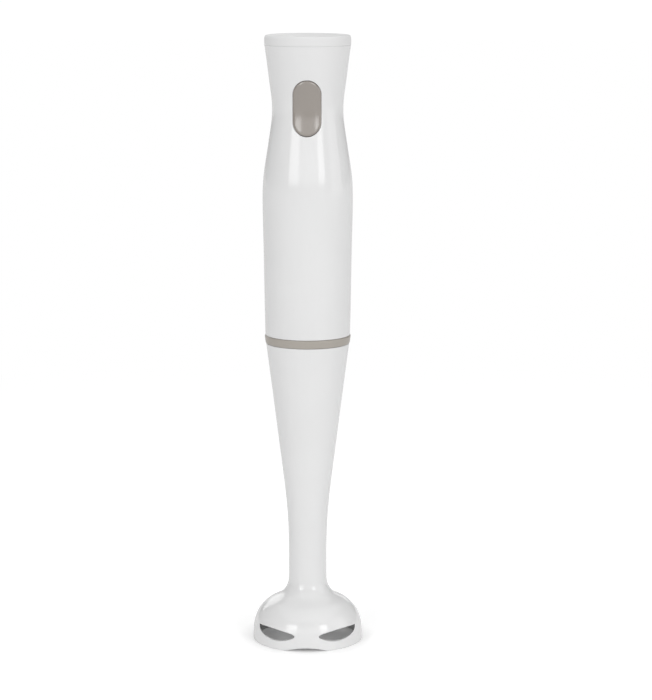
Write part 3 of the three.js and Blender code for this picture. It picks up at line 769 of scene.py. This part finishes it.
def foot():
    nu = 240
    us = np.linspace(0, 2 * math.pi, nu, endpoint=False)
    deg = 360 / nu
    low = np.concatenate([np.linspace(RHO_BELL, 3.2, 6), [3.7]])
    mid = np.linspace(4.0, 14.4, 15)[0:]
    bell = np.linspace(14.4, 36, 40)[1:]
    neck = np.linspace(36, 64, 22)[1:]
    cone = np.linspace(64, FOOT_TOP - 0.14, 62)[1:]
    vs = np.concatenate([low, mid, bell, neck, cone])
    j0, j1 = len(low), len(low) + len(mid) - 1
    holes = []
    inner_holes = []
    for mid_az, sgn in ((0.0, 1), (0.0, -1), (math.pi, 1), (math.pi, -1)):

        def az(x, r, mid_az=mid_az, sgn=sgn):
            return mid_az + sgn * np.arcsin(np.clip(x / r, -0.9999, 0.9999))

        def through(uv, mid_az=mid_az, sgn=sgn, az=az):
            """The same distance and height on the inner surface."""
            x = FOOT(uv[:, 1]) * np.sin(sgn * (uv[:, 0] - mid_az))
            return np.stack([az(x, BELL_IN(uv[:, 1])), uv[:, 1]], axis=1)

        out = [(float(az(x, FOOT(z))), z) for x, z in slot_mm]
        c = mid_az + sgn * math.radians(33.0)
        ends = (mid_az + sgn * math.radians(7.5), mid_az + sgn * math.radians(84.0))
        i0, i1 = int(round(math.degrees(min(ends)) / deg)), int(round(math.degrees(max(ends)) / deg))
        hole = {"i0": i0, "i1": i1, "j0": j0, "j1": j1, "centre": (c, 8.7), "outline": out, "rings": 8, "corner": np.array(out[0])}
        holes.append(hole)
        inner_holes.append({**hole, "remap": through})
    so = Sheet(us, vs, True, holes)
    # Inside of the bell, up to the ceiling.
    vi = np.concatenate([low, mid, np.linspace(14.4, 22.2, 14)[1:]])
    si = Sheet(us, vi, True, inner_holes)
    m = Mesh()
    lo = m.sheet(so, foot_outer)
    li = m.sheet(si, foot_inner_bell, flip=True)
    no, ni = so.normals(foot_outer), si.normals(foot_inner_bell)
    m.join(lo[0], no[so.loops[0]], RHO_BELL, li[0], ni[si.loops[0]], RHO_BELL, 5)  # bottom rim
    for k in range(2, 6):
        m.join(lo[k], no[so.loops[k]], RHO_SLOT, li[k], ni[si.loops[k]], 0.2, 5)  # slots
    # Ceiling, bearing boss, bushing seat, tube and the seat of the lock ring, as turned rows.
    path = rounded(
        [(21.4, 22.2), (18.0, 24.1), (13.0, 25.2), (8.9, 25.1), (8.3, 24.2), (7.9, 17.0), (7.4, 16.4), (5.15, 16.4), (5.1, 29.2), (3.6, 29.3),
         (3.6, 31.4), (8.5, 34.0), (8.5, 66), (10.7, 92), (19.7, 163.6), (20.2, 168.6), (22.2, 169.4), (22.2, FOOT_TOP - 0.02), (24.0, FOOT_TOP - 0.01)],
        [0, 6, 6, 1.6, 1.6, 0.6, 0.5, 0.25, 0.2, 0.2, 0.2, 1, 5, 5, 2, 0.5, 0.3, 0.3, 0], 5,
    )[1:]
    rows = [li[1]]
    # The top loop of a sheet runs against u.
    uu = si.uv[si.loops[1]][:, 0]
    for r, z in path:
        start = m.add(rot(uu, r, np.full(len(uu), z)))
        rows.append(list(range(start, start + len(uu))))
    # The outer shell's top edge, rounded over to meet the last row.
    top = lo[1]
    over = m.rings(top, no[so.loops[1]], 0.13, 4)
    chain = [top] + over + rows[::-1]
    for a, b in zip(chain, chain[1:]):
        m.band(a, b)
    o = m.object("foot_moulding", MAT["housing"], sharp=46, clamp=lambda p: np.column_stack([p[:, 0], p[:, 1], np.clip(p[:, 2], 0.0, FOOT_TOP)]))
    return o


foot_obj = foot()
place(foot_obj, "foot", "housing", "foot_shell")

# ------------------------------------------------------------------ cord gland
gl = rounded(
    [(3.3, 16.2), (7.0, 16.2), (7.0, 18.4), (5.35, 18.4), (5.35, 21.6), (4.9, 22.1), (4.2, 22.1), (3.3, 21.2), (3.3, 16.2)],
    [0, 0.3, 0.3, 0.3, 0.5, 0.4, 0.5, 0.8, 0], 5,
)
gl[-1] = gl[0]
place(turned("gland", gl, MAT["rubber"], 96, "y", (0, 0, GLAND_Z)), "motor_unit", "rubber", "cord_gland")


# ------------------------------------------------------------------ screws with a cross recess
def screw(name, x, z, y_top, head_r, head_h, shank_r, tip_y, turn, node):
    """The head faces +Y. The thread is a row of rings."""
    m = Mesh()
    segs, steps = 96, 22
    rr = np.linspace(0, head_r, steps + 1)
    th = np.linspace(0, 2 * math.pi, segs, endpoint=False)
    arm, wide, deep = head_r * 0.62, head_r * 0.16, head_h * 0.62
    rows = []
    for q in rr:
        if q < 1e-9:
            pts = np.array([[0.0, 0.0]])
        else:
            pts = np.stack([q * np.cos(th), q * np.sin(th)], axis=1)
        c, s = math.cos(turn), math.sin(turn)
        a, b = np.abs(pts[:, 0] * c + pts[:, 1] * s), np.abs(-pts[:, 0] * s + pts[:, 1] * c)
        # Depth of the cross: inside either arm, with sloping walls.
        d1 = np.minimum(arm - a, (wide - b) * 2.2)
        d2 = np.minimum(arm - b, (wide - a) * 2.2)
        inside = np.clip(np.maximum(d1, d2) / (wide * 0.9), 0, 1)
        dome = 0.32 * head_h * (1 - (q / head_r) ** 2)
        y = y_top - 0.32 * head_h + dome - deep * inside * inside * (3 - 2 * inside)
        start = m.add(np.stack([x + pts[:, 0], y, z + pts[:, 1]], axis=1))
        rows.append([start] * segs if len(pts) == 1 else list(range(start, start + segs)))
    base = y_top - 0.32 * head_h
    prof = [(head_r, base - 0.15), (head_r, y_top - head_h + 0.1), (head_r - 0.1, y_top - head_h), (shank_r + 0.1, y_top - head_h)]
    y = y_top - head_h - 0.8
    while y > tip_y + 1.0:
        prof += [(shank_r, y), (shank_r * 0.78, y - 0.35), (shank_r, y - 0.7)]
        y -= 0.75
    prof += [(shank_r * 0.4, tip_y), (0, tip_y)]
    for q, yy in prof:
        if q < 1e-9:
            start = m.add(np.array([[x, yy, z]]))
            rows.append([start] * segs)
        else:
            start = m.add(np.stack([x + q * np.cos(th), np.full(segs, yy), z + q * np.sin(th)], axis=1))
            rows.append(list(range(start, start + segs)))
    for a, b in zip(rows, rows[1:]):
        for k in range(segs):
            n = (k + 1) % segs
            f = [a[k], b[k], b[n], a[n]]
            f = [v for i, v in enumerate(f) if v != f[i - 1]]
            if len(f) >= 3:
                m.f.append(tuple(f))
    o = m.object(name, MAT["screw_steel"], sharp=40)
    bm = bmesh.new()
    bm.from_mesh(o.data)
    if bm.calc_volume(signed=True) < 0:
        bmesh.ops.reverse_faces(bm, faces=bm.faces)
        bm.to_mesh(o.data)
    bm.free()
    return place(o, "motor_unit", "screw_steel", node)


screw("screw_upper", 0, SCREW_Z, 20.95, 2.7, 1.75, 1.4, -9, 0.35, "housing_screw_upper")
screw("screw_lower_left", -LOW_X, LOW_Z, 13.3, 2.1, 1.5, 1.2, -7.5, 0.9, "housing_screw_lower_left")
screw("screw_lower_right", LOW_X, LOW_Z, 13.3, 2.1, 1.5, 1.2, -7.5, 0.2, "housing_screw_lower_right")

# ------------------------------------------------------------------ blade, hub and nut
BL_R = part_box("blade")[1].x / MM
BL_Z = 10.0


def blade():
    nx, nw = 120, 20
    us = np.linspace(-BL_R, BL_R, nx + 1)
    vs = np.linspace(-1, 1, nw + 1)

    def half(x):
        t = np.clip((np.abs(x) - 3) / (BL_R - 3), 0, 1)
        wing = 4.5 * (1 - 0.42 * t * t)
        disc = np.sqrt(np.maximum(36 - x * x, 0))
        k = 0.9
        h = np.maximum(wing, disc)
        # The tip is rounded off.
        e = np.clip((BL_R - np.abs(x)) / 2.6, 0, 1)
        return h * np.sqrt(np.maximum(1 - (1 - e) ** 2, 0.0025)) + 0 * k

    def centre(x):
        t = np.clip((np.abs(x) - 3) / (BL_R - 3), 0, 1)
        return np.sign(x) * 1.6 * t * t

    def lift(x):
        a = np.clip(np.abs(x) - 9, 0, None)
        return np.sign(x) * a * a * 0.0145

    def surf(side):
        def f(u, v):
            y = centre(u) + v * half(u)
            # The leading edge of each wing is ground to a thin edge.
            lead = np.clip(v * np.sign(u), -1, 1)
            far = np.clip((np.abs(u) - 7) / 3, 0, 1)
            grind = far * np.clip((lead - 0.45) / 0.55, 0, 1)
            soft = np.clip((1 - np.abs(v)) / 0.08, 0, 1)
            thick = 0.6 * (1 - 0.86 * grind) * (0.75 + 0.25 * soft)
            z = BL_Z + lift(u) + (thick if side > 0 else -0.6 * (0.75 + 0.25 * soft))
            return np.stack([u, y, z], axis=-1)
        return f

    cx = [(2.75 * math.cos(2 * math.pi * k / 64), 2.75 * math.sin(2 * math.pi * k / 64) / 6.0) for k in range(64)]
    i0, i1 = int(np.searchsorted(us, -4.4)), int(np.searchsorted(us, 4.4))
    hole = {"i0": i0, "i1": i1, "j0": 3, "j1": nw - 3, "centre": (0.0, 0.0), "outline": cx, "rings": 4}
    sh = Sheet(us, vs, False, [hole])
    m = Mesh()
    top, bot = surf(1), surf(-1)
    lt, lb = m.sheet(sh, top), m.sheet(sh, bot, flip=True)
    for a, b in zip(lt, lb):
        m.band(a, b)
    return m.object("blade_two_wing", MAT["blade_steel"], sharp=30)


place(blade(), "blade_shaft", "blade_steel", "blade")
hub = rounded(
    [(2.75, 10.85), (5.2, 10.85), (5.45, 11.2), (5.35, 12.0), (4.7, 13.2), (4.2, 14.8), (4.0, 16.2), (2.75, 16.2), (2.75, 10.85)],
    [0, 0.2, 0.25, 1.0, 1.5, 1.5, 0.25, 0.2, 0], 5,
)
hub[-1] = hub[0]
place(turned("hub", hub, MAT["hub_plastic"], 96), "blade_shaft", "hub_plastic", "blade_hub")


def nut():
    """Hexagonal dome nut under the blade."""
    m = Mesh()
    segs = 96
    th = np.linspace(0, 2 * math.pi, segs, endpoint=False)
    flat = 4.0
    hexr = flat / np.cos((th + math.pi / 6) % (math.pi / 3) - math.pi / 6)
    rows = []
    # (hexagon share, radius where round, height)
    for share, r, z in [(0, 2.8, 9.15), (0, 3.7, 9.15), (1, 4.45, 9.0), (1, 4.6, 8.7), (1, 4.6, 7.0), (1, 4.35, 6.65), (0, 3.8, 6.45), (0, 3.45, 6.3), (0, 3.1, 5.85), (0, 2.5, 5.5), (0, 1.5, 5.4), (0, 0, 5.4)]:
        if r == 0:
            start = m.add(np.array([[0, 0, z]]))
            rows.append([start] * segs)
            continue
        rr = np.minimum(hexr, r) if share else np.full(segs, r)
        start = m.add(np.stack([rr * np.cos(th), rr * np.sin(th), np.full(segs, z)], axis=1))
        rows.append(list(range(start, start + segs)))
    # Blind bore.
    start = m.add(np.stack([2.8 * np.cos(th), 2.8 * np.sin(th), np.full(segs, 6.35)], axis=1))
    bore = list(range(start, start + segs))
    start = m.add(np.array([[0, 0, 6.35]]))
    rows = [[start] * segs, bore] + rows
    for a, b in zip(rows, rows[1:]):
        for k in range(segs):
            n = (k + 1) % segs
            f = [a[k], b[k], b[n], a[n]]
            f = [v for i, v in enumerate(f) if v != f[i - 1]]
            if len(f) >= 3:
                m.f.append(tuple(f))
    o = m.object("dome_nut", MAT["blade_steel"], sharp=34)
    bm = bmesh.new()
    bm.from_mesh(o.data)
    if bm.calc_volume(signed=True) < 0:
        bmesh.ops.reverse_faces(bm, faces=bm.faces)
        bm.to_mesh(o.data)
    bm.free()
    return o


place(nut(), "blade_shaft", "blade_steel", "blade_nut")
shaft = rounded([(0, 6.6), (2.5, 6.6), (2.5, 178.2), (0, 178.2)], [0, 0.3, 0.3, 0], 4)
place(turned("shaft", shaft, MAT["steel"], 64), "blade_shaft", "steel", "blade_shaft")
seal = rounded([(2.62, 17.9), (2.9, 17.2), (3.5, 16.85), (4.4, 16.85), (4.8, 17.2), (4.8, 20.2), (3.2, 20.2), (3.2, 18.4), (2.62, 17.9)], [0, 0.2, 0.3, 0.3, 0.2, 0.2, 0.2, 0.2, 0], 4)
seal[-1] = seal[0]
place(turned("lip_seal", seal, MAT["rubber"], 72), "foot", "rubber", "shaft_seal")

# ------------------------------------------------------------------ floor
GLOW, GLOW_CAM, FAR = 0.03, 0.27, 0.72


def floor():
    m = Mesh()
    rr = [0, 0.06, 0.12, 0.25, 0.5, 1.0, 2.0, 4.0, 8.0]
    th = np.linspace(0, 2 * math.pi, 96, endpoint=False)
    rows = []
    for r in rr:
        if r == 0:
            s = m.add(np.zeros((1, 3)))
            rows.append([s] * 96)
        else:
            s = m.add(np.stack([r * np.cos(th), r * np.sin(th), np.zeros(96)], axis=1) * 1000)
            rows.append(list(range(s, s + 96)))
    for a, b in zip(rows, rows[1:]):
        for k in range(96):
            n = (k + 1) % 96
            f = [a[k], b[k], b[n], a[n]]
            f = [v for i, v in enumerate(f) if v != f[i - 1]]
            m.f.append(tuple(f))
    mt, t, bsdf, co = nodes_of("floor_white")
    t.nodes.remove(bsdf)
    out = t.nodes["Material Output"]
    diff = t.nodes.new("ShaderNodeBsdfDiffuse")
    n = noise(t, co, 6, 2.0)
    t.links.new(mix_rgb(t, ramp(t, n.outputs["Fac"], 0, 1), (0.93, 0.93, 0.93), (0.945, 0.945, 0.945)), diff.inputs["Color"])
    # The floor glows a little, so that it reads as pure white next to the object.
    lp = t.nodes.new("ShaderNodeLightPath")
    glow = t.nodes.new("ShaderNodeEmission")
    glow.inputs["Color"].default_value = (1, 1, 1, 1)
    ln = t.nodes.new("ShaderNodeVectorMath")
    ln.operation = "LENGTH"
    t.links.new(co.outputs["Object"], ln.inputs[0])
    # Painted shade: the glow drops to about a third under the bell and comes back to full just beyond its rim, so the
    # floor there reads darker, like the bell's shadow.
    painted_shade_under_bell = t.nodes.new("ShaderNodeMath")
    painted_shade_under_bell.operation = "MULTIPLY"
    t.links.new(ramp(t, lp.outputs["Is Camera Ray"], GLOW, GLOW_CAM, 0.0, 1.0), painted_shade_under_bell.inputs[0])
    t.links.new(ramp(t, ln.outputs["Value"], 0.35, 1.0, 0.031, 0.044), painted_shade_under_bell.inputs[1])
    t.links.new(painted_shade_under_bell.outputs["Value"], glow.inputs["Strength"])
    near = t.nodes.new("ShaderNodeAddShader")
    t.links.new(diff.outputs["BSDF"], near.inputs[0])
    t.links.new(glow.outputs["Emission"], near.inputs[1])
    # Far away the floor turns into the same even white as the backdrop.
    em = t.nodes.new("ShaderNodeEmission")
    em.inputs["Color"].default_value = (1, 1, 1, 1)
    t.links.new(ramp(t, lp.outputs["Is Camera Ray"], FAR, 1.0, 0.0, 1.0), em.inputs["Strength"])
    far = ramp(t, ln.outputs["Value"], 0.0, 1.0, 0.22, 0.9)
    mx = t.nodes.new("ShaderNodeMixShader")
    t.links.new(far, mx.inputs["Fac"])
    t.links.new(near.outputs["Shader"], mx.inputs[1])
    t.links.new(em.outputs["Emission"], mx.inputs[2])
    t.links.new(mx.outputs["Shader"], out.inputs["Surface"])
    o = m.object("floor", mt, sharp=180)
    return o


floor()

# ------------------------------------------------------------------ light
world = bpy.data.worlds.new("world")
scene.world = world
world.use_nodes = True
wt = world.node_tree
bg = wt.nodes["Background"]
bg.inputs["Color"].default_value = (1, 1, 1, 1)
bg.inputs["Strength"].default_value = 0.26
white = wt.nodes.new("ShaderNodeBackground")
white.inputs["Color"].default_value = (1, 1, 1, 1)
white.inputs["Strength"].default_value = 1.02
lp = wt.nodes.new("ShaderNodeLightPath")
mixw = wt.nodes.new("ShaderNodeMixShader")
wt.links.new(lp.outputs["Is Camera Ray"], mixw.inputs["Fac"])
wt.links.new(bg.outputs["Background"], mixw.inputs[1])
wt.links.new(white.outputs["Background"], mixw.inputs[2])
wt.links.new(mixw.outputs["Shader"], wt.nodes["World Output"].inputs["Surface"])


def softbox(name, at, aim, width, height, radiance):
    """A rectangle of light at a place, facing a point."""
    l = bpy.data.lights.new(name, "AREA")
    l.shape = "RECTANGLE"
    l.size, l.size_y = width, height
    l.energy = radiance * math.pi * l.size * l.size_y  # watts for that radiance
    o = bpy.data.objects.new(name, l)
    scene.collection.objects.link(o)
    o.location = at
    o.rotation_euler = (Vector(aim) - Vector(at)).to_track_quat("-Z", "Y").to_euler()
    o.visible_camera = False
    return o


def upright(name, az, dist, z0, z1, wide, radiance):
    """An upright panel at an azimuth from the front, wide in degrees."""
    a, z = math.radians(az), (z0 + z1) / 2
    at = (dist * math.sin(a), -dist * math.cos(a), z)
    return softbox(name, at, (0, 0, z), 2 * dist * math.tan(math.radians(wide / 2)), z1 - z0, radiance)


upright("softbox_left", -36, 4.0, 0.475, 2.6, 26, 3.2)
upright("softbox_left_top", -34, 3.9, 1.3, 2.5, 20, 1.8)
upright("softbox_right", 38, 4.0, 0.475, 2.6, 18, 3.4)
upright("softbox_right_top", 36, 3.9, 1.3, 2.5, 20, 1.8)
upright("panel_front", 2, 4.0, 0.475, 2.0, 50, 0.9)
upright("fill_right", 82, 3.2, 0.05, 2.6, 34, 1.1)
upright("fill_back", 200, 4.0, 0.9, 2.8, 40, 1.7)
upright("backdrop", 181, 4.0, 0.3, 1.0, 44, 1.0)
softbox("overhead", (0, 0, 2.3), (0, 0, 0), 4.0, 4.0, 0.7)
